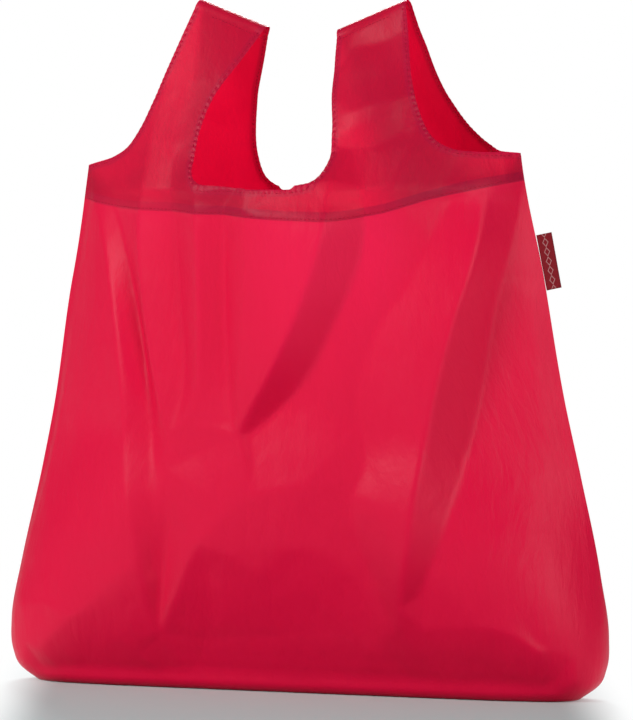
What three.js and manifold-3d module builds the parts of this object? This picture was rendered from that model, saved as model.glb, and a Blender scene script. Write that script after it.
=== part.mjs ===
// A foldable shopping tote of thin cloth, standing open with its two handles up.
// Millimetres. X is the bag's width, -Y its front, +Z up; the origin is on the floor below its middle.
import * as THREE from "three";
import { mergeVertices } from "three/addons/utils/BufferGeometryUtils.js";
import Module from "manifold-3d";

const wasm = await Module();
wasm.setup();

// Cloth and clearances.
const CLOTH = 1.0; // a panel; thicker than the real cloth, so that it is a solid
const LINING = 0.8; // the facing and handle lining inside the panels
const GAP = 0.3; // between neighbouring pieces
const HINGE_GAP = 0.8; // between a piece that turns and the edge it turns at

// The body: half its width and half its depth at each height, as [height, half size].
const HALF_WIDTHS = [
  [0, 220], [11, 242], [24, 250], [49, 253], [97, 246], [174, 228],
  [221, 218], [317, 203], [394, 188], [421, 184], [560, 184],
];
const HALF_DEPTHS = [
  [0, 33], [4, 39], [12, 43], [30, 46], [80, 51], [150, 56],
  [250, 61], [330, 68], [394, 76], [560, 76],
];
const MOUTH_Z = 394; // the mouth's edge, between the handles
const SHOULDER = { x: 184, z: 421 }; // the mouth's outer corners, on the side seams
const BOXY_BELOW_Z = 260; // the plan is a rounded rectangle at the floor and a lens from here up

// The handles: each is one strip over the top, wider at its roots.
const HANDLE_OUTER_EDGE = [[150, 424], [136, 431], [122, 449], [113, 468], [106, 487], [97, 510], [88, 543]];
const HANDLE_INNER_EDGE = [[29, 525], [40, 488], [51, 450], [56, 422]];
const MOUTH_CORNER_RADIUS = 28;
const RIDGE = { innerX: 29, innerZ: 525, outerX: 87, outerZ: 548 }; // the fold over the top slopes inwards
const RIDGE_RADIUS = 7; // of the fold, seen from the side
const ROOT_Z = 475; // where a handle bends over, and its strip meets the panel's
const JOIN_BELOW_RIDGE = 8; // the seam of a handle's front and back strip is this far down its front

// The facing's lower hem, drooping slightly from the side seams to the middle.
const HEM = { sideZ: 391, middleZ: 368 };

// Overlocked seam allowances, inside the bag.
const SEAM = { thick: 1.0, wide: 6 };
const SIDE_SEAM = { fromEdge: 4, lowZ: 14, highZ: 362 };
const FLOOR_SEAM = { endX: 203, cornerX: 204, cornerHalf: 16 };

// The woven label in the right side seam.
const LABEL = { z: 340, tall: 44, wide: 12, thick: 0.9 };

// The storage pouch inside, hanging from the back facing. POUCH_Y is each sheet's front face.
const POUCH = { halfWidth: 49, bottomZ: 306, topZ: 371, corner: 8, sheet: 0.8 };
const POUCH_Y = { back: 57.6, front: 55.2, flap: 51.8 };
const POUCH_MOUTH_Z = 366; // the front sheet's top edge
const FLAP_BOTTOM_Z = 335;
const TETHER = { halfWidth: 8, topY: 71.8, topZ: 388, bendZ: 368, bottomZ: 359 };
const SNAP = { z: 343, radius: 5, knobRadius: 1.7, ringRadius: 2.1, segments: 20 };

// Grid of the body's surface.
const COLUMNS = 28;
const BODY_ROWS = [0, 4, 11, 24, 49, 85, 130, 180, 235, 290, 340, 370, MOUTH_Z];
const HANDLE_ROWS = [0.16, 0.32, 0.48, 0.62, 0.74, 0.84, 0.91, 0.955, 0.985, 1];


// A smooth curve through [height, value] pairs.
function curveOf(pairs) {
  const heights = pairs.map((pair) => pair[0]);
  const values = pairs.map((pair) => pair[1]);
  const curve = new THREE.CubicInterpolant(heights, values, 1);
  return (z) => curve.evaluate(z)[0];
}

const halfWidthAt = curveOf(HALF_WIDTHS);
const halfDepthAt = curveOf(HALF_DEPTHS);

// The height of the handles' fold at x.
function ridgeAt(x) {
  const along = (Math.abs(x) - RIDGE.innerX) / (RIDGE.outerX - RIDGE.innerX);
  return THREE.MathUtils.lerp(RIDGE.innerZ, RIDGE.outerZ, THREE.MathUtils.clamp(along, 0, 1));
}

// Half the distance from the front to the back panel, at a share of the half width and a height.
function openingAt(share, z) {
  const lens = THREE.MathUtils.smoothstep(z, 0, BOXY_BELOW_Z);
  const sides = THREE.MathUtils.lerp(5, 2, lens);
  const power = THREE.MathUtils.lerp(0.4, 1, lens);
  const plan = (1 - Math.abs(share) ** sides) ** power;
  const atMouth = halfDepthAt(Math.min(z, MOUTH_Z)) * plan;
  if (z <= MOUTH_Z) return atMouth;
  const top = ridgeAt(share * halfWidthAt(z));
  const radius = Math.min(RIDGE_RADIUS, atMouth);
  if (z < top - radius) {
    const climb = (z - MOUTH_Z) / (top - radius - MOUTH_Z);
    return THREE.MathUtils.lerp(atMouth, radius, climb);
  }
  return Math.sqrt(Math.max(radius ** 2 - (z - top + radius) ** 2, 0));
}

// Columns a little closer together towards the side seams.
function shareOf(column) {
  const t = (2 * column) / COLUMNS - 1;
  return 0.6 * t + 0.4 * Math.sin((t * Math.PI) / 2);
}

// The front half of the body's surface, as rows of points from the floor's edge to the ridge.
function frontRows() {
  const rows = BODY_ROWS.map((z) => {
    return [...Array(COLUMNS + 1).keys()].map((column) => {
      const share = shareOf(column);
      return new THREE.Vector3(share * halfWidthAt(z), -openingAt(share, z), z);
    });
  });
  for (const part of HANDLE_ROWS) {
    rows.push([...Array(COLUMNS + 1).keys()].map((column) => {
      const share = shareOf(column);
      const z = THREE.MathUtils.lerp(MOUTH_Z, ridgeAt(share * SHOULDER.x), part);
      return new THREE.Vector3(share * halfWidthAt(z), part === 1 ? 0 : -openingAt(share, z), z);
    }));
  }
  return rows;
}

// The outward direction at one point of the rows. At the floor it reaches down by one, like a mitre.
function outwardAt(rows, row, column) {
  const last = rows.length - 1;
  const up = rows[Math.min(row + 1, last)][column].clone().sub(rows[Math.max(row - 1, 0)][column]);
  const next = Math.min(column + 1, COLUMNS);
  const along = rows[row][next].clone().sub(rows[row][Math.max(column - 1, 0)]);
  if (row === last) return new THREE.Vector3(-along.z, 0, along.x).normalize();
  let out = new THREE.Vector3().crossVectors(along, up).normalize();
  if (column === 0) out = new THREE.Vector3(-up.z, 0, up.x).normalize();
  if (column === COLUMNS) out = new THREE.Vector3(up.z, 0, -up.x).normalize();
  if (row > 0) return out;
  out.z = 0;
  out.normalize();
  out.z = -1;
  return out;
}

// A geometry's closed surface as a manifold solid.
function solidOf(geometry) {
  const welded = weld(geometry);
  const vertProperties = new Float32Array(welded.attributes.position.array);
  const triVerts = new Uint32Array(welded.index.array);
  return new wasm.Manifold(new wasm.Mesh({ numProp: 3, vertProperties, triVerts }));
}

// Joins a geometry's equal points and drops the triangles that this closes up.
function weld(geometry) {
  const bare = geometry.clone();
  bare.deleteAttribute("normal");
  bare.deleteAttribute("uv");
  const merged = mergeVertices(bare, 1e-4);
  const index = merged.index.array;
  const kept = [];
  for (let i = 0; i < index.length; i += 3) {
    const [a, b, c] = [index[i], index[i + 1], index[i + 2]];
    if (a !== b && b !== c && c !== a) kept.push(a, b, c);
  }
  merged.setIndex(kept);
  return merged;
}

function geometryOf(solid) {
  const mesh = solid.getMesh();
  const geometry = new THREE.BufferGeometry();
  geometry.setAttribute("position", new THREE.BufferAttribute(new Float32Array(mesh.vertProperties), 3));
  geometry.setIndex(new THREE.BufferAttribute(new Uint32Array(mesh.triVerts), 1));
  return weld(geometry);
}

// The whole space inside the bag's outer surface, moved in by a distance, as one closed solid.
function bagSpace(inset) {
  const rows = frontRows();
  const front = rows.map((points, row) => points.map((point, column) => {
    return point.clone().addScaledVector(outwardAt(rows, row, column), -inset);
  }));
  const back = front.map((points) => points.map((point) => point.clone().setY(-point.y)));
  const positions = [];
  const quad = (a, b, c, d) => {
    for (const point of [a, b, c, a, c, d]) positions.push(point.x, point.y, point.z);
  };
  for (let column = 0; column < COLUMNS; column++) {
    quad(front[0][column], back[0][column], back[0][column + 1], front[0][column + 1]);
    for (let row = 0; row < front.length - 1; row++) {
      const [low, high] = [front[row], front[row + 1]];
      quad(low[column], low[column + 1], high[column + 1], high[column]);
      const [lowBack, highBack] = [back[row], back[row + 1]];
      quad(lowBack[column + 1], lowBack[column], highBack[column], highBack[column + 1]);
    }
  }
  const geometry = new THREE.BufferGeometry();
  geometry.setAttribute("position", new THREE.Float32BufferAttribute(positions, 3));
  geometry.setIndex([...Array(positions.length / 3).keys()]);
  return solidOf(geometry);
}

// An outline in X and Z, as a solid from one y to another.
function prism(shape, fromY, toY, curveSegments = 6) {
  const geometry = new THREE.ExtrudeGeometry(shape, { depth: toY - fromY, bevelEnabled: false, curveSegments });
  geometry.rotateX(Math.PI / 2);
  geometry.translate(0, toY, 0);
  return geometry;
}

function outline(points) {
  return new THREE.Shape(points.map(([x, z]) => new THREE.Vector2(x, z)));
}

// A box from its two corners.
function block([lowX, lowY, lowZ], [highX, highY, highZ]) {
  return prism(outline([[lowX, lowZ], [highX, lowZ], [highX, highZ], [lowX, highZ]]), lowY, highY);
}

const FAR = 320; // beyond the bag on every side
const ABOVE = 600;

// The bag seen from the front: body, shoulders and handles, open above the ridge.
function bagOutline() {
  const mirrored = ([x, z]) => [-x, z];
  const vectors = (pairs) => pairs.map(([x, z]) => new THREE.Vector2(x, z));
  const [topInner, topOuter] = [HANDLE_INNER_EDGE[0], HANDLE_OUTER_EDGE.at(-1)];
  const cornerX = HANDLE_INNER_EDGE.at(-1)[0] - MOUTH_CORNER_RADIUS;
  const cornerZ = MOUTH_Z + MOUTH_CORNER_RADIUS;
  const shape = outline([[-FAR, -FAR], [FAR, -FAR], [FAR, SHOULDER.z], [SHOULDER.x, SHOULDER.z]]);
  shape.lineTo(...HANDLE_OUTER_EDGE[0]);
  shape.splineThru(vectors(HANDLE_OUTER_EDGE.slice(1)));
  shape.lineTo(topOuter[0] - 2, ABOVE);
  shape.lineTo(topInner[0] - 2, ABOVE);
  shape.lineTo(...topInner);
  shape.splineThru(vectors(HANDLE_INNER_EDGE.slice(1)));
  shape.absarc(cornerX, cornerZ, MOUTH_CORNER_RADIUS, 0, -Math.PI / 2, true);
  shape.absarc(-cornerX, cornerZ, MOUTH_CORNER_RADIUS, -Math.PI / 2, -Math.PI, true);
  shape.splineThru(vectors(HANDLE_INNER_EDGE.slice(0, -1).reverse().map(mirrored)));
  shape.lineTo(2 - topInner[0], ABOVE);
  shape.lineTo(2 - topOuter[0], ABOVE);
  shape.lineTo(-topOuter[0], topOuter[1]);
  shape.splineThru(vectors(HANDLE_OUTER_EDGE.slice(0, -1).reverse().map(mirrored)));
  shape.lineTo(-SHOULDER.x, SHOULDER.z);
  shape.lineTo(-FAR, SHOULDER.z);
  return shape;
}

// Everything above the facing's hem.
function aboveHem() {
  const shape = new THREE.Shape();
  shape.moveTo(-FAR, ABOVE);
  shape.lineTo(-SHOULDER.x, HEM.sideZ);
  shape.quadraticCurveTo(0, 2 * HEM.middleZ - HEM.sideZ, SHOULDER.x, HEM.sideZ);
  shape.lineTo(FAR, ABOVE);
  return solidOf(prism(shape, -FAR, FAR));
}

// The part of a handle on the front side of its joining seam, on the side of the bag that side says.
function frontOfJoin(side, clearance) {
  const slope = (RIDGE.outerZ - RIDGE.innerZ) / (RIDGE.outerX - RIDGE.innerX);
  const seamZ = (x) => RIDGE.innerZ + slope * (x - RIDGE.innerX) - JOIN_BELOW_RIDGE - clearance;
  const points = [[0, 0], [FAR, 0], [FAR, seamZ(FAR)], [0, seamZ(0)]].map(([x, z]) => [side * x, z]);
  if (side < 0) points.reverse();
  return solidOf(prism(outline(points), -FAR, 0));
}

// The panels, facings, handle strips and linings, all cut from two layers of the same surface.
function shellPieces() {
  const cut = solidOf(prism(bagOutline(), -FAR, FAR));
  const panels = bagSpace(0).subtract(bagSpace(CLOTH)).intersect(cut);
  const liningOut = CLOTH + GAP;
  const lining = bagSpace(liningOut).subtract(bagSpace(liningOut + LINING)).intersect(cut);
  const half = GAP / 2;
  const below = (fromY, toY) => solidOf(block([-FAR, fromY, -1], [FAR, toY, ROOT_Z - half]));
  const inFront = below(-FAR, -half);
  const behind = below(half, FAR);
  const facings = lining.intersect(aboveHem());
  const pieces = {
    front_panel: panels.intersect(inFront),
    back_panel: panels.intersect(behind),
    front_facing: facings.intersect(inFront),
    back_facing: facings.intersect(behind),
  };
  for (const [name, side] of [["left", -1], ["right", 1]]) {
    const [nearX, farX] = [0, side * FAR].sort((a, b) => a - b);
    const handle = solidOf(block([nearX, -FAR, ROOT_Z + half], [farX, FAR, ABOVE]));
    const strip = panels.intersect(handle);
    pieces[`${name}_strap_front`] = strip.intersect(frontOfJoin(side, GAP));
    pieces[`${name}_strap_back`] = strip.subtract(frontOfJoin(side, 0));
    pieces[`${name}_strap_lining`] = lining.intersect(handle);
  }
  return pieces;
}

// A side seam's allowance: a ribbon that follows the side's curve, inside the bag.
function sideSeam(side) {
  const steps = 12;
  const { fromEdge, lowZ, highZ } = SIDE_SEAM;
  const heights = [...Array(steps + 1).keys()].map((i) => THREE.MathUtils.lerp(lowZ, highZ, i / steps));
  const edge = (inset) => heights.map((z) => [side * (halfWidthAt(z) - inset), z]);
  const points = [...edge(fromEdge), ...edge(fromEdge + SEAM.wide).reverse()];
  if (side < 0) points.reverse();
  return prism(outline(points), -SEAM.thick / 2, SEAM.thick / 2);
}

// The allowances that stand up from the floor: along its middle, and across it at each boxed corner.
function floorSeams() {
  const low = CLOTH + GAP;
  const high = low + SEAM.wide;
  const half = SEAM.thick / 2;
  const { endX, cornerX, cornerHalf } = FLOOR_SEAM;
  const across = (x) => block([x - half, -cornerHalf, low], [x + half, cornerHalf, high]);
  return {
    bottom_seam: block([-endX, -half, low], [endX, half, high]),
    left_corner_seam: across(-cornerX),
    right_corner_seam: across(cornerX),
  };
}

// The label stands out of the seam and leans with it.
function sideLabel() {
  const lean = Math.atan2(halfWidthAt(LABEL.z - 20) - halfWidthAt(LABEL.z + 20), 40);
  const geometry = block([0, -LABEL.thick / 2, -LABEL.tall / 2], [LABEL.wide, LABEL.thick / 2, LABEL.tall / 2]);
  geometry.rotateY(-lean);
  geometry.translate(halfWidthAt(LABEL.z) + HINGE_GAP, 0, LABEL.z);
  return geometry;
}

// A sheet of the pouch: a rectangle whose lower corners are rounded.
function pouchSheet(topZ, bottomZ, frontY) {
  const { halfWidth, corner, sheet } = POUCH;
  const shape = new THREE.Shape();
  shape.moveTo(-halfWidth, topZ);
  shape.lineTo(-halfWidth, bottomZ + corner);
  shape.absarc(corner - halfWidth, bottomZ + corner, corner, Math.PI, 1.5 * Math.PI, false);
  shape.absarc(halfWidth - corner, bottomZ + corner, corner, 1.5 * Math.PI, 2 * Math.PI, false);
  shape.lineTo(halfWidth, topZ);
  return prism(shape, frontY, frontY + sheet);
}

// An outline in Y and Z, as a solid across the middle of the bag.
function crossStrip(points, halfWidth) {
  const shape = new THREE.Shape(points.map(([y, z]) => new THREE.Vector2(y, z)));
  const geometry = new THREE.ExtrudeGeometry(shape, { depth: 2 * halfWidth, bevelEnabled: false });
  geometry.rotateX(Math.PI / 2);
  geometry.rotateZ(Math.PI / 2);
  geometry.translate(-halfWidth, 0, 0);
  return geometry;
}

// The back sheet turns over forwards at its top, to the line where the flap hangs.
function pouchBack() {
  const { halfWidth, sheet, topZ, bottomZ } = POUCH;
  const [front, back] = [POUCH_Y.back, POUCH_Y.back + sheet];
  const [outer, inner, foot] = [topZ + 2, topZ + 2 - sheet, topZ - 2];
  const turn = [[POUCH_Y.flap, outer], [POUCH_Y.flap, inner], [front, inner], [front, foot], [back, foot], [back, outer]];
  return geometryOf(solidOf(pouchSheet(topZ, bottomZ, front)).add(solidOf(crossStrip(turn, halfWidth))));
}

// The band that holds the pouch: down the facing, then flat on the pouch's back.
function tether() {
  const { topY, topZ, bendZ, bottomZ, halfWidth } = TETHER;
  const thick = POUCH.sheet;
  const front = [[topY, topZ], [POUCH_Y.back + thick + GAP, bendZ], [POUCH_Y.back + thick + GAP, bottomZ]];
  const back = front.map(([y, z]) => [y + thick, z]).reverse();
  return crossStrip([...front, ...back], halfWidth);
}

// A round snap piece from its [radius, y] profile; smaller y is further forward.
function turned(profile) {
  const points = profile.map(([radius, y]) => new THREE.Vector2(radius, y));
  const geometry = new THREE.LatheGeometry(points, SNAP.segments);
  geometry.translate(0, 0, SNAP.z);
  return geometry;
}

// The snap fastener, from the flap's front to the inside of the pouch's front sheet.
function snapPieces() {
  const { radius, knobRadius, ringRadius } = SNAP;
  const rim = radius - 0.5;
  const capBack = POUCH_Y.flap - GAP;
  const ringFront = POUCH_Y.flap + POUCH.sheet + GAP;
  const ringBack = ringFront + 1.1;
  const studBack = POUCH_Y.front - GAP;
  const knobFront = ringFront + 0.2;
  const postFront = POUCH_Y.front + POUCH.sheet + GAP;
  const cap = [[0, capBack], [radius, capBack], [radius, capBack - 0.5], [radius - 1.2, capBack - 1.2], [0, capBack - 1.5]];
  const ring = [[ringRadius, ringFront], [ringRadius, ringBack], [rim, ringBack], [rim, ringFront], [ringRadius, ringFront]];
  const base = [[0, studBack], [rim, studBack], [rim, studBack - 0.5], [knobRadius, studBack - 0.5]];
  const knob = [[knobRadius, knobFront], [0, knobFront]];
  const post = [[0, postFront + 1], [rim, postFront + 1], [rim, postFront], [0, postFront]];
  return {
    snap_cap: turned(cap),
    snap_socket: turned(ring),
    snap_stud: turned([...base, ...knob]),
    snap_post: turned(post),
  };
}

// Makes a geometry's triangles face outwards, whichever way its profile ran.
function facingOut(geometry) {
  const welded = weld(geometry);
  const position = welded.attributes.position;
  const index = welded.index.array;
  const [a, b, c] = [new THREE.Vector3(), new THREE.Vector3(), new THREE.Vector3()];
  let volume = 0;
  for (let i = 0; i < index.length; i += 3) {
    a.fromBufferAttribute(position, index[i]);
    b.fromBufferAttribute(position, index[i + 1]);
    c.fromBufferAttribute(position, index[i + 2]);
    volume += a.dot(b.cross(c));
  }
  if (volume < 0) index.reverse();
  return welded;
}

function plainMaterial(color, roughness) {
  return new THREE.MeshStandardMaterial({ color, roughness, metalness: 0 });
}

const MATERIALS = {
  cloth: plainMaterial("crimson", 0.55),
  seam: plainMaterial("firebrick", 0.8),
  label: plainMaterial("brown", 0.7),
  snap: plainMaterial("firebrick", 0.35),
};

const bag = new THREE.Group();
bag.name = "foldable_tote_bag";

function addPiece(name, geometry, material) {
  const mesh = new THREE.Mesh(facingOut(geometry), MATERIALS[material]);
  mesh.name = name;
  bag.add(mesh);
}

for (const [name, solid] of Object.entries(shellPieces())) addPiece(name, geometryOf(solid), "cloth");
for (const [name, side] of [["left_side_seam", -1], ["right_side_seam", 1]]) addPiece(name, sideSeam(side), "seam");
for (const [name, geometry] of Object.entries(floorSeams())) addPiece(name, geometry, "seam");
addPiece("side_label", sideLabel(), "label");
addPiece("pouch_tether", tether(), "cloth");
addPiece("pouch_back", pouchBack(), "cloth");
addPiece("pouch_front", pouchSheet(POUCH_MOUTH_Z, POUCH.bottomZ, POUCH_Y.front), "cloth");
addPiece("pouch_flap", pouchSheet(POUCH.topZ - HINGE_GAP, FLAP_BOTTOM_Z, POUCH_Y.flap), "cloth");
for (const [name, geometry] of Object.entries(snapPieces())) addPiece(name, geometry, "snap");

export default bag;
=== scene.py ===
import math

import bpy
import numpy as np
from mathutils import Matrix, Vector, noise
from mathutils.bvhtree import BVHTree
from mathutils.geometry import delaunay_2d_cdt


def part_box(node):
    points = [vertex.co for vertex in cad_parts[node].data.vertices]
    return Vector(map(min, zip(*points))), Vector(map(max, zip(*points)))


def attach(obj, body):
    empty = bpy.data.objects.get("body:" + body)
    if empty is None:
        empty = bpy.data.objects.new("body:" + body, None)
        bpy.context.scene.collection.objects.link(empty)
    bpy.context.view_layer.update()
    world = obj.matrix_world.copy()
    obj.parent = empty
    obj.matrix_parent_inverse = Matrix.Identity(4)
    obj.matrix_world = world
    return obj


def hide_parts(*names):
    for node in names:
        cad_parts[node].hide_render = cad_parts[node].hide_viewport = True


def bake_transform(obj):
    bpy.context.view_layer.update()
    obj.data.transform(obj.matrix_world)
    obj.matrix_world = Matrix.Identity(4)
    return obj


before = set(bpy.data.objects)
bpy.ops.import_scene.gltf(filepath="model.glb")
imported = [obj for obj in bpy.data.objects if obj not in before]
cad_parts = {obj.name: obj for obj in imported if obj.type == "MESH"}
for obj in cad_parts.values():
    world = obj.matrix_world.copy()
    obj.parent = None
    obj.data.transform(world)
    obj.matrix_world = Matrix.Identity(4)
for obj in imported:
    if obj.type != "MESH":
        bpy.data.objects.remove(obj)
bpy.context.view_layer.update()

# ---------------- driving sizes
BODY_HALF_WIDTH = 252.9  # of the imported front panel
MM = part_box("front_panel")[1].x / BODY_HALF_WIDTH  # metres in one of the script's millimetres

# The body: half its width and half its depth at each height.
HALF_WIDTHS = [
    (0, 230), (11, 245), (24, 251), (49, 253), (97, 246), (174, 228),
    (221, 218), (317, 203), (394, 188), (421, 184), (560, 184),
]
HALF_DEPTHS = [
    (0, 29), (4, 33), (12, 37.5), (30, 43), (80, 51.5), (150, 57),
    (250, 61), (330, 68), (394, 76), (560, 76),
]
MOUTH = 399  # height of the mouth's edge
SHOULDER_LIFT = [(-184, -3), (-110, 0), (110, 0), (184, 6)]  # the right shoulder sits higher than the left
SHOULDER_SHIFT = 2.5  # both shoulders are this far to the left
LEFT_RIDGE_LIFT = 2.5  # the left handle is this much taller
RIGHT_BULGE = 3.5  # the right side stands out this much more, halfway up
BOXY_BELOW = 210  # the plan is a rounded rectangle at the floor and a lens from here up
PLAN = {"sides": (7, 2), "power": (0.4, 1)}  # its exponents, at the floor and from there up
CROWDED = (150, 350)  # points crowd towards the ends up to the first height, and no more above the second
RIDGE_INNER = (29, 525)  # the fold over the top of a handle slopes inwards
RIDGE_OUTER = (87, 548)
RIDGE_RADIUS = 7
RIDGE_ARC = RIDGE_RADIUS * (math.pi / 2 - 1)  # the cloth runs this much further up than the ridge is high

# Where the handles part from the panels.
ROOT_LOW = 428
JOIN_BELOW_RIDGE = 8  # the seam at the top of a handle, down its front

# Free edges of the two panels, from the left shoulder over both handles to the right shoulder.
SHOULDER = (184, 421)
FREE_EDGES = {
    "front": {
        "left": [(-154, 427), (-140, 434), (-128, 449), (-119, 467), (-111, 486), (-101, 512)],
        "middle": [
            (-46, 498), (-62, 472), (-69, 450), (-71, 428), (-69, 409), (-61, 401), (-36, 399.5),
            (0, 398.5), (24, 399.5), (37, 404), (44, 419), (43, 442), (36, 478),
        ],
        "right": [(95, 510), (101, 482), (109, 458), (120, 438), (134, 428), (152, 424)],
    },
    "back": {
        "left": [(-152, 424), (-137, 431), (-123, 449), (-113, 468), (-106, 487), (-97, 512)],
        "middle": [
            (-42, 498), (-53, 473), (-60, 447), (-62, 424), (-58, 406), (-46, 398), (-15, 396.5),
            (12, 396.5), (37, 400), (50, 410), (56, 428), (53, 452), (42, 488),
        ],
        "right": [(97, 510), (104, 487), (113, 469), (125, 451), (142, 434), (156, 426)],
    },
}

# The facing's lower hem on each panel.
HEMS = {
    "front": [
        (-192, 394), (-146, 385), (-87, 381), (-40, 379), (25, 376), (62, 376), (86, 380),
        (116, 389), (150, 395), (192, 401),
    ],
    "back": [(-192, 396), (-120, 385), (-40, 377), (40, 376), (120, 386), (192, 397)],
}

# The creases of each panel: lines of (x, height, how far the cloth stands out there). The cloth runs
# straight from one line to the next, so a high line is a ridge and a low one a valley.
FRONT_CREASES = [
    [(-178, 404, 0.3), (-160, 365, 1.8), (-142, 310, 3.6), (-129, 240, 5.4), (-124, 160, 5),
     (-116, 100, 3.4), (-108, 46, 0.8)],
    [(-158, 400, 0), (-142, 365, 0.2), (-122, 290, 0), (-110, 230, 1.4), (-105, 150, 2.4),
     (-107, 100, 1.6)],
    [(-112, 470, 0.4), (-115, 418, 1.4), (-117, 360, 3), (-112, 310, 3.6), (-105, 265, 3.9),
     (-96, 225, 3.9), (-90, 202, 3.6)],
    [(-92, 420, 0.4), (-88, 374, -0.4), (-83, 311, 0.2), (-78, 250, 1.6), (-86, 210, 3.3)],
    [(-62, 392, 2.2), (-60, 365, 3.4), (-60, 295, 4), (-65, 240, 3.7), (-76, 218, 3.7),
     (-90, 202, 3.6), (-92, 160, 2.2), (-95, 120, 0.8), (-101, 80, 0.3), (-107, 42, 0.2)],
    [(-39, 386, 0.6), (-41, 296, 1), (-37, 244, 2), (-32, 214, 3)],
    [(-17, 384, 3.2), (-20, 320, 4.2), (-25, 260, 4.2), (-30, 215, 3.8)],
    [(47, 390, 3.4), (45, 368, 6), (30, 318, 7.2), (14, 280, 7.4), (0, 254, 6.4), (-16, 228, 5),
     (-29, 206, 3.4)],
    [(74, 392, 0.6), (73, 360, 0.2), (60, 320, 0.8), (44, 288, 0.8), (26, 255, 0.6), (4, 228, 0.6),
     (-20, 206, 2)],
    [(136, 392, 1.4), (118, 352, 1.6), (100, 318, 1.4), (84, 293, 1.2), (65, 240, 0.9),
     (73, 187, 1.6), (60, 152, 1.6)],
    [(158, 386, 3), (150, 340, 5.6), (136, 289, 6.4), (119, 200, 6.4), (109, 110, 5), (99, 56, 1.8)],
    [(184, 388, 0), (176, 350, 0), (167, 305, -0.6), (160, 250, -0.6), (150, 195, 0.2),
     (134, 126, 1.6), (118, 84, 1.4)],
    [(192, 312, 0.1), (199, 234, 0.2), (205, 176, 0.3), (200, 88, 1), (206, 50, 0.8), (236, 37, 0.3)],
    [(60, 152, 1.6), (77, 93, 0.6), (97, 54, 1.4)],
    [(-44, 140, 4.2), (-66, 118, 4), (-89, 76, 2.6), (-107, 42, 0.2)],
    [(-44, 140, 4.2), (-16, 158, 4.2), (18, 166, 3.6), (60, 152, 1.6)],
    [(-38, 112, 3.6), (0, 118, 3.4), (40, 118, 2.4)],
    [(-58, 96, 1.8), (-62, 42, -1)],
    [(-14, 96, 2.8), (-14, 76, 1.4), (-10, 45, -0.8)],
    [(58, 108, 1.4), (70, 78, 0.4), (84, 44, 0)],
    [(-213, 28, 1), (-190, 48, 2.2), (-175, 59, 2.8), (-160, 50, 1.6), (-125, 24, -0.4)],
    [(-227, 62, 1.2), (-206, 64, 1.8), (-175, 59, 2.8)],
    [(104, 54, 1.5), (130, 58, 1.4), (165, 60, 1.8), (192, 54, 1.8), (210, 42, 1.4)],
    [(-198, 338, 0.1), (-209, 230, 1.2), (-215, 148, 1.4), (-200, 74, 1.6), (-228, 32, 0.8)],
    [(46, 453, 1.4), (62, 457, 2.5), (84, 464, 2.7), (102, 472, 1.3)],
    [(46, 442, 0.9), (62, 446, 1.8), (84, 452, 2), (105, 460, 0.8)],
    [(50, 430, 0), (76, 433, -0.2), (98, 443, 0)],
    [(108, 452, 0.6), (101, 420, 1.8), (94, 394, 1.6)],
    [(124, 440, 0.6), (128, 416, 1.4), (136, 392, 2)],
    [(-74, 462, 0.5), (-80, 430, 0.7), (-80, 404, 0.8)],
    [(46, 521, 0.5), (64, 530, 0.8), (84, 541, 0.6)],
    [(44, 510, 0), (66, 513, -0.3), (88, 522, -0.1)],
]
BACK_CREASES = [
    [(-168, 404, 1), (-148, 330, 4.5), (-124, 230, 5), (-110, 130, 4), (-104, 50, -1)],
    [(-128, 400, 0), (-112, 320, 0.5), (-92, 240, 1), (-96, 150, 1)],
    [(-84, 400, 2), (-70, 320, 5), (-46, 240, 4.4), (-22, 205, 3)],
    [(-30, 388, 1), (-26, 320, 1.6), (-18, 240, 1.4)],
    [(18, 388, 4), (16, 320, 6), (2, 250, 5.2), (-14, 206, 3)],
    [(66, 396, 1), (56, 320, 1), (34, 250, 0.8), (10, 205, 1.4)],
    [(120, 404, 3), (108, 320, 5.4), (88, 240, 5), (78, 170, 4.4), (90, 100, 3.4), (98, 52, -1)],
    [(160, 400, 0), (150, 310, -0.5), (138, 220, 0.2), (132, 140, 0.8)],
    [(186, 390, 1), (186, 300, 3), (190, 200, 3), (206, 110, 2), (230, 40, 1.2)],
    [(-198, 320, 1.4), (-206, 200, 1.8), (-204, 90, 1.6), (-228, 36, 1.2)],
    [(-58, 132, 2), (-10, 148, 3.8), (56, 138, 2)],
    [(-60, 60, -2.6), (0, 50, -2.8), (62, 60, -2.6)],
    [(-200, 52, 1.6), (-160, 58, 1.6), (-118, 52, 0)],
    [(112, 54, 0), (160, 60, 1.6), (204, 50, 1.6)],
    [(-104, 460, 1.5), (-84, 444, 2.4), (-62, 436, 1.4)],
    [(64, 452, 2), (84, 440, 1.8), (110, 450, 1.2)],
]
RELIEF = 3.2  # the creases' heights are multiplied by this
CREST = 2.0  # a crease is rounded over about this far to each side
CREASE_STEP = 3  # between the points along a crease

# Around the creases the cloth lies on the smooth surface: here on the right handle, as (x, height).
AROUND_HANDLE = [
    [(10, 560), (60, 560), (120, 560)],
    [(22, 540), (24, 480), (20, 410)],
    [(112, 540), (130, 480), (160, 440)],
]
BASE_TUCK = {"up": 8, "reach": 215, "height": -1.6}  # just above the floor the cloth is drawn in a little
SIDE_FADE, TOP_FADE, FLOOR_FADE = 14, 14, 18  # the creases fade out over these widths

# Soft waves between the creases. They are longer up the bag than across it.
WIDE_RIPPLE = {"deep": 1.1, "size": 38, "squeeze": 0.45}
FINE_RIPPLE = {"deep": 0.25, "size": 11, "squeeze": 0.6}
CALM = {"by": 0.6, "from": 380, "to": 440}  # two layers hold each other flatter
SEEDS = {"front": 3.1, "back": 8.7}

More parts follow.
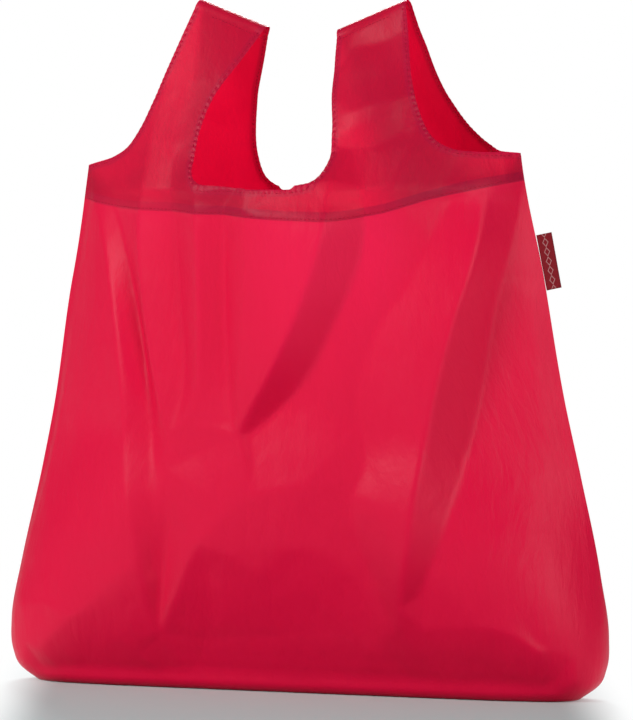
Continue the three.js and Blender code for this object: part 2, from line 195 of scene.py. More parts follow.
# The free edges are rolled over and sewn, which gathers the cloth beside them.
PUCKER = {"deep": 0.6, "wave": 4.7, "from_edge": 2.4, "reach": 2.6}
EDGE_ROLL = {"deep": 0.4, "reach": 0.7}
EDGE_ROWS = [0.6, 1.4, 2.4, 3.6, 5.0]  # rows of points beside a free edge
EDGE_STEP = 1.2  # between the points along a free edge
HEM = {"high": 0.45, "rise": (-1.5, 0.5), "fall": (6, 10)}  # the folded hem is a step in the cloth
LAYERS = {"gap": 0.9, "least": 0.1, "reach": 1.5}  # between outer cloth and facing, growing from the edge
SPACING = 2.6  # of the points on the open cloth
MERGE = 1e-4  # points closer than this become one
SLIVER = 1e-4  # triangles with less than half this area are left out

STITCH = {"pitch": 3.1, "thick": 0.28, "from_edge": 2.6, "over_hem": 1.4, "below_join": 2.2}
VIEW_AZIMUTH = math.radians(21)  # the camera stands this far to the right of the bag's front


# ---------------- camera
def put(name, data):
    """A new object in the scene."""
    thing = bpy.data.objects.new(name, data)
    bpy.context.scene.collection.objects.link(thing)
    return thing


def make_camera():
    away, eye_height, look_height, look_right, lens = 3.74, 0.4075, 0.2625, 0.010, 234.9
    right = Vector((math.cos(VIEW_AZIMUTH), math.sin(VIEW_AZIMUTH), 0))
    target = right * look_right + Vector((0, 0, look_height))
    data = bpy.data.cameras.new("camera")
    data.lens = lens
    data.sensor_fit = "VERTICAL"
    data.sensor_height = 36
    camera = put("camera", data)
    camera.location = (math.sin(VIEW_AZIMUTH) * away, -math.cos(VIEW_AZIMUTH) * away, eye_height)
    camera.rotation_euler = (target - camera.location).to_track_quat("-Z", "Y").to_euler()
    bpy.context.scene.camera = camera


make_camera()


# ---------------- curves
def unit(vectors):
    """The vectors in the last axis, each made one long."""
    return vectors / np.maximum(np.linalg.norm(vectors, axis=-1, keepdims=True), 1e-9)


def columns(*values):
    """Points from their coordinates; a single number is the same for all."""
    return np.stack(np.broadcast_arrays(*values), axis=1)


def gaps_of(line):
    """The distances from each point of a line to the next."""
    return np.linalg.norm(np.diff(line, axis=0), axis=1)


def running(values):
    """The sum so far, from 0 on."""
    return np.concatenate([[0], np.cumsum(values)])


def smoothstep(value, low, high):
    share = np.clip((value - low) / (high - low), 0, 1)
    return share * share * (3 - 2 * share)


def lerp(low, high, share):
    return low + (high - low) * share


def curve_of(pairs):
    """A smooth function through (position, value) pairs."""
    places, values = np.array(pairs, float).T
    slopes = np.gradient(values, places)

    def at(place):
        place = np.clip(place, places[0], places[-1])
        i = np.clip(np.searchsorted(places, place) - 1, 0, len(places) - 2)
        span = places[i + 1] - places[i]
        t = (place - places[i]) / span
        rise = (3 - 2 * t) * t * t
        bend = t * (1 - t) * ((1 - t) * slopes[i] - t * slopes[i + 1]) * span
        return lerp(values[i], values[i + 1], rise) + bend

    return at


def smooth_line(points, step):
    """Evenly spaced points on a smooth line through a few points."""
    given = np.array(points, float)
    knots = running(np.sqrt(gaps_of(given)))
    samples = 40  # for each given point
    fine = np.linspace(0, knots[-1], samples * len(given))
    dense = columns(*(curve_of(columns(knots, values))(fine) for values in given.T))
    lengths = running(gaps_of(dense))
    count = max(int(round(lengths[-1] / step)), 2)
    even = np.linspace(0, lengths[-1], count + 1)
    return columns(*(np.interp(even, lengths, values) for values in dense.T))


def nearest(line, points, chunk=3000):
    """For each point: its distance to the line, and how far along the line that is."""
    start, leg = line[:-1], np.diff(line, axis=0)
    length = gaps_of(line)
    before = running(length)[:-1]
    distances, places = [], []
    for low in range(0, len(points), chunk):
        gap = points[low:low + chunk, None, :] - start[None]
        share = np.clip((gap * leg).sum(2) / (length**2), 0, 1)
        off = gap - share[..., None] * leg
        distance = np.hypot(off[..., 0], off[..., 1])
        best = distance.argmin(1)
        rows = np.arange(len(best))
        distances.append(distance[rows, best])
        places.append(before[best] + share[rows, best] * length[best])
    return np.concatenate(distances), np.concatenate(places)


half_width_at = curve_of(HALF_WIDTHS)
half_depth_at = curve_of(HALF_DEPTHS)
hem_at = {panel: curve_of(pairs) for panel, pairs in HEMS.items()}


def ridge_at(x):
    """The height of the fold over the handles."""
    share = np.clip((np.abs(x) - RIDGE_INNER[0]) / (RIDGE_OUTER[0] - RIDGE_INNER[0]), 0, 1)
    return lerp(RIDGE_INNER[1], RIDGE_OUTER[1], share)


def join_at(x):
    """The height of the seam at the top of a handle."""
    slope = (RIDGE_OUTER[1] - RIDGE_INNER[1]) / (RIDGE_OUTER[0] - RIDGE_INNER[0])
    return RIDGE_INNER[1] + slope * (np.abs(x) - RIDGE_INNER[0]) - JOIN_BELOW_RIDGE


# ---------------- the shell's surface
def plan_at(share, up):
    """The plan's depth at a share of the half width: a rounded rectangle low down, a lens higher up."""
    lens = smoothstep(up, 0, BOXY_BELOW)
    sides = lerp(*PLAN["sides"], lens)
    power = lerp(*PLAN["power"], lens)
    return np.maximum(1 - np.abs(share) ** sides, 0) ** power


def across_to_share(across, up):
    """The share of the half width; places are closer together in x where the ends of the base are boxed."""
    t = np.clip(across / half_width_at(np.maximum(up, 0)), -1, 1)
    crowded = 1 - smoothstep(up, *CROWDED)
    return lerp(t, np.sin(t * math.pi / 2), crowded)


def uneven(x, z, share, up):
    """Makes the small differences between the bag's two sides, each over a range of x and of height."""
    places, lifts = np.transpose(SHOULDER_LIFT)
    z = z + np.interp(x, places, lifts) * smoothstep(up, 300, SHOULDER[1])
    z = z + LEFT_RIDGE_LIFT * smoothstep(-x, 10, 30) * smoothstep(up, 440, 520)
    x = x - SHOULDER_SHIFT * smoothstep(np.abs(x), 140, SHOULDER[0]) * smoothstep(up, 330, 410)
    bulge_low, bulge_tall = 30, 290
    climb = np.clip((up - bulge_low) / bulge_tall, 0, 1)
    x = x + RIGHT_BULGE * smoothstep(share, 0.3, 1) * np.sin(math.pi * climb) ** 2
    return x, z


def smooth_surface(across, up):
    """The uncreased cloth as points in space, on the front side."""
    height = np.maximum(up, 0)
    share = across_to_share(across, up)
    x = share * half_width_at(height)
    low = np.minimum(height, MOUTH)
    depth = half_depth_at(low) * plan_at(share, low)
    top = ridge_at(x)
    radius = np.minimum(RIDGE_RADIUS, depth)
    climb = np.clip((height - MOUTH) / (top - radius - MOUTH), 0, 1)
    depth = lerp(depth, radius, climb)
    turn = np.clip((height - top + radius) / RIDGE_RADIUS, 0, math.pi / 2)
    over = height > top - radius
    z = np.where(over, top - radius + radius * np.sin(turn), height)
    y = -np.where(over, radius * np.cos(turn), depth)
    y = np.where(up < 0, np.minimum(y - up, 0), y)
    x, z = uneven(x, z, share, up)
    return columns(x, y, z)


def outward(across, up):
    """The direction out of the cloth, on the front side."""
    small = 0.4
    limit = half_width_at(np.maximum(up, 0)) - small
    inner = np.clip(across, -limit, limit)
    along = smooth_surface(inner + small / 2, up) - smooth_surface(inner - small / 2, up)
    rise = smooth_surface(inner, up + small / 2) - smooth_surface(inner, up - small / 2)
    return unit(np.cross(along, rise))


def relief(creases):
    """A tree of flat triangles between the crease lines, with the heights as the third coordinate."""
    up = np.linspace(4, SHOULDER[1], 24)
    around = [[(side * half_width_at(v), v, 0) for v in up] for side in (-1, 1)]
    base = np.linspace(-BASE_TUCK["reach"], BASE_TUCK["reach"], 24)
    around.append([(x, BASE_TUCK["up"], BASE_TUCK["height"]) for x in base])
    for side in (-1, 1):
        for line in AROUND_HANDLE:
            around.append([(side * x, v, 0) for x, v in line])
    smooth = [smooth_line(line, CREASE_STEP) for line in creases]
    smooth += [np.array(line, float) for line in around]
    points, edges = [], []
    for line in smooth:
        edges += [(len(points) + i, len(points) + i + 1) for i in range(len(line) - 1)]
        points += [tuple(point) for point in line]
    flat, _, faces, sources, *_ = delaunay_2d_cdt([Vector(p[:2]) for p in points], edges, [], 0, MERGE)
    heights = [np.mean([points[i][2] for i in source]) if source else None for source in sources]
    given = np.array([p[:2] for p in points])
    for i, height in enumerate(heights):
        if height is None:
            nearby = np.argsort(np.hypot(*(given - tuple(flat[i])).T))[:2]
            heights[i] = np.mean([points[k][2] for k in nearby])
    return BVHTree.FromPolygons([(p[0], p[1], h) for p, h in zip(flat, heights)], faces)


def crease_heights(points, creases):
    """How far the creases stand out of the smooth surface, averaged over a small ring around each point."""
    tree = relief(creases)
    down = Vector((0, 0, -1))
    above = 100
    ring = [(0, 0)] + [(math.cos(k * math.pi / 3), math.sin(k * math.pi / 3)) for k in range(6)]
    total = np.zeros(len(points))
    for x, up in ring:
        places = points + np.array((x, up)) * CREST
        hits = [tree.ray_cast((px, pu, above), down)[0] for px, pu in places]
        total += [hit[2] if hit else 0 for hit in hits]
    return RELIEF * total / len(ring)


def ripples(points, kind, seed):
    """Smooth noise over the cloth, from -1 to 1."""
    size = kind["size"]
    return np.array([noise.noise((x / size, z / size, seed)) for x, z in points * (1, kind["squeeze"])])


def pucker(distance, place, seed):
    """The gathering beside a free edge, as a height; place is the distance along the edge."""
    drift = 2.5 * np.sin(place / 17)
    wave = np.sin(2 * math.pi * place / PUCKER["wave"] + drift)
    strength = 0.65 + 0.35 * np.sin(place / 23 + seed)
    hump = np.exp(-(((distance - PUCKER["from_edge"]) / PUCKER["reach"]) ** 2))
    return PUCKER["deep"] * strength * wave * hump


def free_edge(panel):
    """The panel's free edge, from the left shoulder over both handles to the right shoulder."""
    edges = FREE_EDGES[panel]
    inner = (RIDGE_INNER[0], RIDGE_INNER[1] + RIDGE_ARC)
    outer = (RIDGE_OUTER[0], RIDGE_OUTER[1] + RIDGE_ARC)
    mirrored = [(-x, up) for x, up in (inner, outer, SHOULDER)]
    return [
        smooth_line([mirrored[2], *edges["left"], mirrored[1]], EDGE_STEP),
        smooth_line([mirrored[0], *edges["middle"], inner], EDGE_STEP),
        smooth_line([outer, *edges["right"], SHOULDER], EDGE_STEP),
    ]


def edge_distance(panel, points):
    """Each point's distance to the panel's nearest free edge, and its place along it."""
    distance = np.full(len(points), 1e3)
    place = np.zeros(len(points))
    near = np.flatnonzero(points[:, 1] > MOUTH - 30)
    for line in free_edge(panel):
        far, along = nearest(line, points[near])
        closer = far < distance[near]
        distance[near[closer]] = far[closer]
        place[near[closer]] = along[closer]
    return distance, place


def cloth(panel, across, up):
    """The panel's creased outer surface, and each place's distance to the free edge."""
    base = smooth_surface(across, up)
    normal = outward(across, up)
    points = columns(base[:, 0], up)
    creases = FRONT_CREASES if panel == "front" else BACK_CREASES
    seed = SEEDS[panel]
    height = crease_heights(points, creases)
    calm = 1 - CALM["by"] * smoothstep(up, CALM["from"], CALM["to"])
    wide = WIDE_RIPPLE["deep"] * calm * ripples(points, WIDE_RIPPLE, seed)
    height += wide + FINE_RIPPLE["deep"] * ripples(points, FINE_RIPPLE, seed)
    distance, place = edge_distance(panel, points)
    hem_gap = up - hem_at[panel](points[:, 0])
    hem_step = HEM["high"] * smoothstep(hem_gap, *HEM["rise"]) * (1 - smoothstep(hem_gap, *HEM["fall"]))
    side_gap = half_width_at(np.maximum(up, 0)) - np.abs(base[:, 0])
    side_fade = smoothstep(side_gap, 0, SIDE_FADE)
    top_fade = smoothstep(ridge_at(base[:, 0]) + RIDGE_ARC - up, 0, TOP_FADE)
    floor_fade = smoothstep(up, 0, FLOOR_FADE)
    height = (height + hem_step) * side_fade * top_fade * floor_fade
    roll = EDGE_ROLL["deep"] * np.exp(-distance / EDGE_ROLL["reach"])
    height += (pucker(distance, place, seed) - roll) * top_fade
    outer = base + normal * height[:, None]
    if panel == "back":
        outer[:, 1] *= -1
    return outer, distance, hem_gap


# ---------------- laying out the panels
def inside(loop, points):
    """Which points lie within a closed loop."""
    result = np.zeros(len(points), bool)
    ends = np.roll(loop, -1, axis=0)
    for (ax, ay), (bx, by) in zip(loop, ends):
        if ay == by:
            continue
        crosses = (points[:, 1] > ay) != (points[:, 1] > by)
        result ^= crosses & (points[:, 0] < (bx - ax) * (points[:, 1] - ay) / (by - ay) + ax)
    return result


def ridge_line(side):
    """The cloth along a handle's ridge, from left to right."""
    ends = sorted((side * x, up) for x, up in (RIDGE_INNER, RIDGE_OUTER))
    return np.linspace(*ends, 26) + (0, RIDGE_ARC)


def body_side(side):
    """The side seam, upwards."""
    up = np.linspace(0, SHOULDER[1], int(SHOULDER[1] / SPACING) + 1)
    return columns(side * half_width_at(up), up)


def floor_line():
    """The bottom seam, where the two floor halves meet, from left to right."""
    half_long = 220
    across = np.linspace(-1, 1, int(2 * half_long / SPACING)) * half_width_at(0.0)
    depth = half_depth_at(0.0) * plan_at(across_to_share(across, 0.0), 0.0)
    return columns(across, -depth)


def panel_outline(panel):
    """The whole outline, from the left end of the floor round to the right and over the handles."""
    left, middle, right = free_edge(panel)
    over_handles = [right, ridge_line(1), middle, ridge_line(-1), left, body_side(-1)]
    loop = [floor_line(), body_side(1)] + [line[::-1] for line in over_handles]
    return np.concatenate([line[:-1] for line in loop])


def split_lines(panel):
    """Lines that the panel's triangles follow, so that the pieces part cleanly along them."""
    hem_xs = np.linspace(-200, 200, 161) * 0.96
    root_xs, join_xs = np.linspace(24, 160, 60), np.linspace(30, 86, 26)
    lines = [columns(hem_xs, hem_at[panel](hem_xs))]
    for side in (-1, 1):
        lines.append(columns(side * root_xs, float(ROOT_LOW)))
        if panel == "front":
            lines.append(columns(side * join_xs, join_at(join_xs)))
    return lines


def inward_of(edge):
    """At each point of a free edge, the direction into the cloth."""
    along = unit(np.gradient(edge, axis=0))
    return columns(along[:, 1], -along[:, 0])


def open_points(loop, closed, edges):
    """A grid of points on the cloth away from its outline."""
    low, high, side = -36, 556, 258  # beyond every outline
    rows = np.arange(low, high, SPACING * math.sqrt(3) / 2)
    xs = np.arange(-side, side, SPACING)
    grid = np.array([(x + (i % 2) * SPACING / 2, up) for i, up in enumerate(rows) for x in xs])
    grid = grid[inside(loop, grid)]
    to_loop = nearest(closed, grid)[0]
    to_edge = np.min([nearest(edge, grid)[0] for edge in edges], axis=0)
    return grid[(to_loop > 0.55 * SPACING) & (to_edge > EDGE_ROWS[-1] + 0.5 * SPACING)]


def edge_points(loop, edges):
    """Rows of points beside the free edges, without those that another part of an edge is too near to."""
    rows, offsets = [], []
    full_rows = 3  # the rows beyond have every second point only
    for edge in edges:
        for row, offset in enumerate(EDGE_ROWS):
            step = 1 if row < full_rows else 2
            rows.append((edge + inward_of(edge) * offset)[1:-1:step])
            offsets.append(np.full(len(rows[-1]), offset))
    points = np.concatenate(rows)
    gap = np.min([nearest(edge, points)[0] for edge in edges], axis=0)
    return points[inside(loop, points) & (gap > 0.93 * np.concatenate(offsets))]


def lay_out(panel):
    """The panel's flat triangles: (across, up) points and index triples."""
    loop = panel_outline(panel)
    closed = np.concatenate([loop, loop[:1]])
    edges = free_edge(panel)
    free = np.concatenate([open_points(loop, closed, edges), edge_points(loop, edges)])
    off_outline, off_line, unbroken = 0.5, 0.9, 12
    kept_lines = []
    for line in split_lines(panel):
        inner = inside(loop, line) & (nearest(closed, line)[0] > off_outline)
        kept_lines.append(line[inner])
        free = free[nearest(line, free)[0] > off_line]
    points = [*loop]
    edges_out = [(i, (i + 1) % len(loop)) for i in range(len(loop))]
    for line in kept_lines:
        first = len(points)
        points += [*line]
        edges_out += [(first + i, first + i + 1) for i, gap in enumerate(gaps_of(line)) if gap < unbroken]
    points += [*free]
    flat, _, faces, *_ = delaunay_2d_cdt([Vector(p) for p in points], edges_out, [], 1, MERGE)
    return np.array([tuple(p) for p in flat]), np.array(faces)


def inset_at(distance):
    """How far the second layer lies behind the outer one, at a distance from the edge that joins them."""
    return LAYERS["least"] + LAYERS["gap"] * (1 - np.exp(-distance / LAYERS["reach"]))


def face_normals(points, faces):
    """A normal for each triangle, as long as twice its area."""
    a, b, c = points[faces].transpose(1, 0, 2)
    return np.cross(b - a, c - a)


class Shell:
    """Both panels as one list of points, joined along the ridges of the handles."""

    def __init__(self):
        panels = [self.panel_arrays("front", 0)]
        front_count = len(panels[0][0])
        panels.append(self.panel_arrays("back", front_count))
        joined = [np.concatenate(arrays) for arrays in zip(*panels)]
        self.flat, self.outer, self.distance, self.hem, self.faces, self.front = joined
        self.join_ridges(front_count)
        self.normals = self.point_normals()
        middle = self.flat[self.faces].mean(1)
        self.middle_x, self.middle_up = middle.T
        self.middle_hem = self.hem[self.faces].mean(1)

    def panel_arrays(self, panel, count):
        """The panel's points, what is known of each, and its faces, counted on from the points before."""
        flat, faces = lay_out(panel)
        outer, distance, hem_gap = cloth(panel, *flat.T)
        double_area = np.linalg.norm(face_normals(outer, faces), axis=1)
        if panel == "back":
            faces = faces[:, ::-1]
        faces = faces[double_area > SLIVER]
        return flat, outer, distance, hem_gap, faces + count, np.full(len(faces), panel == "front")

    def join_ridges(self, front_count):
        """The back's points on a ridge are replaced by the front's."""
        top = ridge_at(self.flat[:, 0]) + RIDGE_ARC
        on_ridge = np.flatnonzero(np.abs(self.flat[:, 1] - top) < 0.01)
        found = {tuple(np.round(self.flat[i], 2)): i for i in on_ridge if i < front_count}
        same = np.arange(len(self.flat))
        for i in on_ridge[on_ridge >= front_count]:
            same[i] = found.get(tuple(np.round(self.flat[i], 2)), i)
        self.faces = same[self.faces]

    def point_normals(self):
        face = face_normals(self.outer, self.faces)
        total = np.zeros_like(self.outer)
        for i in range(3):
            np.add.at(total, self.faces[:, i], face)
        return unit(total)

    def piece(self, name, mask, lining=False):
        """An object from some of the shell's triangles, or from the second layer behind them."""
        faces = self.faces[mask]
        used, faces = np.unique(faces, return_inverse=True)
        faces = faces.reshape(-1, 3)
        points, normals = self.outer[used], self.normals[used]
        if lining:
            inset = inset_at(self.distance[used])
            points = points - normals * inset[:, None]
            normals = -normals
            faces = faces[:, ::-1]
        return make_mesh(name, points, faces, normals, self.flat[used], {
            "edge": self.distance[used],
            "hem": self.hem[used],
        })


def make_mesh(name, points, faces, normals=None, flat=None, attributes=None):
    """A smooth mesh from millimetre points, with the cloth's own places as its UV map."""
    mesh = bpy.data.meshes.new(name)
    mesh.from_pydata((np.asarray(points) * MM).tolist(), [], [tuple(map(int, f)) for f in faces])
    mesh.polygons.foreach_set("use_smooth", [True] * len(mesh.polygons))
    if flat is not None:
        layer = mesh.uv_layers.new(name="cloth")
        corner = np.zeros(len(mesh.loops), int)
        mesh.loops.foreach_get("vertex_index", corner)
        layer.data.foreach_set("uv", (np.asarray(flat)[corner] * 0.001).ravel())
    for key, values in (attributes or {}).items():
        field = mesh.attributes.new(key, "FLOAT", "POINT")
        field.data.foreach_set("value", np.asarray(values, np.float32))
    mesh.update()
    if normals is not None:
        mesh.normals_split_custom_set_from_vertices(normals.tolist())
    return put(name, mesh)


# ---------------- materials
class Nodes:
    """A short way to build the nodes of a material or a world."""

    def __init__(self, owner):
        self.owner = owner
        owner.use_nodes = True
        self.tree = owner.node_tree
        self.tree.nodes.clear()

    def add(self, kind, *, inputs=None, **settings):
        node = self.tree.nodes.new(kind)
        for key, value in settings.items():
            setattr(node, key, value)
        for key, value in (inputs or {}).items():
            self.set(node, key, value)
        return node

    def set(self, node, key, value):
        if isinstance(value, bpy.types.NodeSocket):
            self.tree.links.new(value, node.inputs[key])
        else:
            node.inputs[key].default_value = value

    def math(self, operation, a, b=0.0):
        return self.add("ShaderNodeMath", operation=operation, inputs={0: a, 1: b}).outputs[0]

    def ramp(self, value, low, high, start=0.0, end=1.0):
        """A value that runs smoothly from start to end as the input goes from low to high."""
        settings = {"Value": value, "From Min": low, "From Max": high, "To Min": start, "To Max": end}
        return self.add("ShaderNodeMapRange", interpolation_type="SMOOTHSTEP", inputs=settings).outputs[0]

    def mix(self, share, a, b):
        """Two colours mixed. The colour sockets of this node come after those for numbers."""
        return self.add("ShaderNodeMix", data_type="RGBA", inputs={0: share, 6: a, 7: b}).outputs[2]

    def mix_shaders(self, share, a, b):
        return self.add("ShaderNodeMixShader", inputs={0: share, 1: a, 2: b}).outputs[0]

    def noise(self, place, scale, detail, roughness=0.5, distortion=0.0):
        settings = {"Vector": place, "Scale": scale, "Detail": detail, "Roughness": roughness}
        node = self.add("ShaderNodeTexNoise", inputs={**settings, "Distortion": distortion})
        return node.outputs["Fac"]

    def wave(self, place, scale, direction, distortion=0.0, detail=2.0):
        settings = {"Vector": place, "Scale": scale, "Distortion": distortion, "Detail": detail}
        return self.add("ShaderNodeTexWave", bands_direction=direction, inputs=settings).outputs["Fac"]

    def field(self, name):
        return self.add("ShaderNodeAttribute", attribute_name=name).outputs["Fac"]

    def uv(self):
        return self.add("ShaderNodeTexCoord").outputs["UV"]

    def place(self):
        return self.add("ShaderNodeTexCoord").outputs["Object"]

    def bump(self, height, strength, distance, onto=None):
        settings = {"Height": height, "Strength": strength, "Distance": distance}
        if onto is not None:
            settings["Normal"] = onto
        return self.add("ShaderNodeBump", inputs=settings).outputs[0]

    def surface(self, colour, roughness, normal, constants=None):
        settings = {"Base Color": colour, "Roughness": roughness, "Normal": normal}
        return self.add("ShaderNodeBsdfPrincipled", inputs={**settings, **(constants or {})}).outputs[0]

    def finish(self, shader, kind="ShaderNodeOutputMaterial"):
        self.add(kind, inputs={0: shader})
        return self.owner


def shade(colour, factors=(1, 1, 1)):
    """The colour with each channel multiplied, and opaque."""
    return (*(value * factor for value, factor in zip(colour, factors)), 1)


CRIMSON = (0.70, 0.0015, 0.043)  # one layer of cloth
CRIMSON_DOUBLE = (0.53, 0.008, 0.050)  # two layers
CRIMSON_GLOW = (0.94, 0.036, 0.19)  # light that has come through
THREAD_COLOURS = (0.40, 0.004, 0.030), (0.54, 0.006, 0.042)
LABEL_COLOURS = (0.13, 0.004, 0.008), (0.23, 0.006, 0.013)
LABEL_MOTIF = (0.36, 0.16, 0.16)
SNAP_COLOURS = (0.40, 0.010, 0.030), (0.50, 0.018, 0.045)
WOVEN = {"Specular IOR Level": 0.12}  # thread and label hardly shine
LABEL_WIDE, LABEL_TALL = 12.4, 44.0
THREADS = 1800.0  # to a metre of cloth

# Where the colour changes, in millimetres above the hem's lower edge, or from the free edge.
SECOND_LAYER = (-0.8, 0.6)
HEM_BOTTOM, HEM_TOP = (-0.8, 0.4), (6.2, 7.6)
TURNED_IN = (4.6, 5.8)


def weave(nodes, place, threads):
    """The over and under of a plain weave, as a height."""
    waves = [nodes.wave(place, threads / math.pi, direction, 0.4, 1.0) for direction in ("X", "Y")]
    return nodes.math("MULTIPLY", *waves)


def cloth_colour(nodes, hem_band, turned_in, two_layers, mottle, streaks):
    """The colour of one or two layers. The hem is darkest, and painted shade darkens it more towards the
    right.
    """
    rightwards = nodes.add("ShaderNodeSeparateXYZ", inputs={0: nodes.place()}).outputs[0]
    # Painted shade: the hem band darkens more towards the right, where less light falls.
    hem_shade_rightwards = nodes.ramp(rightwards, -0.15, 0.02, 0.1, 0.9)
    edge_dark = nodes.math("MULTIPLY", turned_in, 0.35)
    darker = nodes.math("MAXIMUM", nodes.math("MULTIPLY", hem_band, hem_shade_rightwards), edge_dark)
    dull = nodes.ramp(mottle, 0.3, 0.7, 0.0, 0.14)
    pale = nodes.ramp(streaks, 0.35, 0.65, 0.0, 0.07)
    colour = nodes.mix(two_layers, shade(CRIMSON), shade(CRIMSON_DOUBLE))
    colour = nodes.mix(darker, colour, shade(CRIMSON_DOUBLE, (0.66, 0.4, 0.8)))
    colour = nodes.mix(dull, colour, shade(CRIMSON, (0.78, 0.6, 0.7)))
    return nodes.mix(pale, colour, shade(CRIMSON, (1, 2.5, 1.8)))


def cloth_material(name, see_through):
    """Thin satin polyester. It is duller and darker where a second layer or the hem lies behind it."""
    nodes = Nodes(bpy.data.materials.new(name))
    hem = nodes.field("hem")
    two_layers = nodes.ramp(hem, *SECOND_LAYER)
    hem_band = nodes.math("MULTIPLY", nodes.ramp(hem, *HEM_BOTTOM), nodes.ramp(hem, *HEM_TOP, 1.0, 0.0))
    turned_in = nodes.ramp(nodes.field("edge"), *TURNED_IN, 1.0, 0.0)
    mottle = nodes.noise(nodes.place(), 9.0, 4.0, 0.6)
    streaks = nodes.noise(nodes.uv(), 260.0, 2.0)
    mapping = {"Vector": nodes.uv(), "Scale": (1.0, 0.3, 1.0)}
    stretched = nodes.add("ShaderNodeMapping", inputs=mapping).outputs[0]
    crinkles = nodes.noise(stretched, 120.0, 5.0, 0.62, 0.4)
    slubs = nodes.bump(streaks, 0.15, 0.0004, nodes.bump(crinkles, 0.5, 0.0012))
    normal = nodes.bump(weave(nodes, nodes.uv(), THREADS), 0.15, 0.0001, slubs)
    colour = cloth_colour(nodes, hem_band, turned_in, two_layers, mottle, streaks)
    shine = nodes.surface(colour, nodes.ramp(mottle, 0.3, 0.7, 0.40, 0.48), normal, {
        "IOR": 1.46,
        "Specular IOR Level": 0.2,
        "Sheen Weight": 0.04,
        "Sheen Roughness": 0.4,
        "Sheen Tint": (1.0, 0.35, 0.42, 1),
        "Anisotropic": 0.3,
    })
    glow = {"Color": shade(CRIMSON_GLOW), "Normal": normal}
    glow = nodes.add("ShaderNodeBsdfTranslucent", inputs=glow).outputs[0]
    share = nodes.math("MULTIPLY", nodes.ramp(two_layers, 0, 1, 0.16, 1.0), see_through)
    thick = nodes.math("MAXIMUM", hem_band, turned_in)
    share = nodes.math("SUBTRACT", share, nodes.math("MULTIPLY", thick, 0.12))
    return nodes.finish(nodes.mix_shaders(share, shine, glow))


def thread_material():
    nodes = Nodes(bpy.data.materials.new("sewing_thread"))
    twist = nodes.wave(nodes.place(), 900.0, "DIAGONAL", 1.0)
    colour = nodes.mix(twist, *map(shade, THREAD_COLOURS))
    normal = nodes.bump(twist, 0.4, 0.0001)
    return nodes.finish(nodes.surface(colour, 0.55, normal, WOVEN))


def label_material():
    """A ribbed woven band with a row of plain diamonds."""
    nodes = Nodes(bpy.data.materials.new("woven_label"))
    parts = nodes.add("ShaderNodeSeparateXYZ", inputs={0: nodes.uv()})
    across, along = parts.outputs[0], parts.outputs[1]
    pitch, size, line = 0.0074, 0.0032, 0.00055
    zigzag = nodes.math("PINGPONG", along, pitch / 2)
    from_middle = nodes.math("ABSOLUTE", nodes.math("SUBTRACT", across, LABEL_WIDE * 0.0005))
    shape = nodes.math("ADD", nodes.math("MULTIPLY", from_middle, 1.5), zigzag)
    outline = nodes.math("ABSOLUTE", nodes.math("SUBTRACT", shape, size))
    diamond = nodes.math("LESS_THAN", outline, line)
    rib = nodes.wave(nodes.uv(), 420.0, "Y")
    colour = nodes.mix(diamond, nodes.mix(rib, *map(shade, LABEL_COLOURS)), shade(LABEL_MOTIF))
    height = nodes.math("ADD", rib, nodes.math("MULTIPLY", diamond, 0.8))
    normal = nodes.bump(height, 0.5, 0.0002)
    return nodes.finish(nodes.surface(colour, 0.6, normal, WOVEN))


def snap_material():
    nodes = Nodes(bpy.data.materials.new("snap_plastic"))
    grain = nodes.noise(nodes.place(), 900.0, 3.0)
    colour = nodes.mix(grain, *map(shade, SNAP_COLOURS))
    roughness = nodes.ramp(grain, 0.3, 0.7, 0.28, 0.42)
    return nodes.finish(nodes.surface(colour, roughness, nodes.bump(grain, 0.15, 0.0001)))


MATERIALS = {
    "shell_cloth": cloth_material("shell_cloth", 0.4),
    "facing_cloth": cloth_material("facing_cloth", 0.66),
    "seam_thread": thread_material(),
    "woven_label": label_material(),
    "snap_plastic": snap_material(),
}


# ---------------- the shell's pieces
shell = Shell()


def settle(piece, slot, nodes=(), body="bag"):
    """Gives a piece its material, hides the CAD nodes that it stands for, and parents it to its body; a
    handle's piece only has its placing baked into its mesh.
    """
    piece.data.materials.append(MATERIALS[slot])
    if nodes:
        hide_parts(*nodes)
    if body.endswith("_handle"):
        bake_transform(piece)
    else:
        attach(piece, body)


def cloth_piece(node, mask, body="bag", lining=False):
    piece = shell.piece(f"{node}_cloth", mask, lining)
    settle(piece, "facing_cloth" if lining else "shell_cloth", [node], body)


def shell_pieces():
    front = shell.front
    above_root = shell.middle_up > ROOT_LOW
    faced = shell.middle_hem > 0
    top = front & (shell.middle_up > join_at(shell.middle_x))
    for panel, mask in (("front", front & ~above_root), ("back", ~front & ~above_root)):
        cloth_piece(f"{panel}_panel", mask)
        cloth_piece(f"{panel}_facing", mask & faced, lining=True)
    for name, side in (("left", -1), ("right", 1)):
        body = f"{name}_handle"
        handle = above_root & (side * shell.middle_x > 0)
        cloth_piece(f"{name}_strap_front", handle & front & ~top, body)
        cloth_piece(f"{name}_strap_back", handle & (~front | top), body)
        cloth_piece(f"{name}_strap_lining", handle, body, lining=True)


shell_pieces()


# ---------------- stitching
def spindles(starts, ends, normals, thick):
    """Short thick threads lying on the cloth, each from a start to an end."""
    points, faces = [], []
    sides = 5
    along = ends - starts
    side = unit(np.cross(along, normals))
    for start, step, across, normal in zip(starts, along, side, normals):
        first = len(points)
        last = first + 1 + 2 * sides
        points.append(start - normal * thick * 0.5)
        for share in (0.2, 0.8):
            for turn in range(sides):
                angle = 2 * math.pi * turn / sides
                ring = across * math.cos(angle) + normal * math.sin(angle)
                points.append(start + step * share + ring * thick)
        points.append(start + step - normal * thick * 0.5)
        for turn in range(sides):
            low, next_low = first + 1 + turn, first + 1 + (turn + 1) % sides
            high, next_high = low + sides, next_low + sides
            faces += [(first, next_low, low), (low, next_low, high), (next_low, next_high, high)]
            faces.append((high, next_high, last))
    return np.array(points), faces


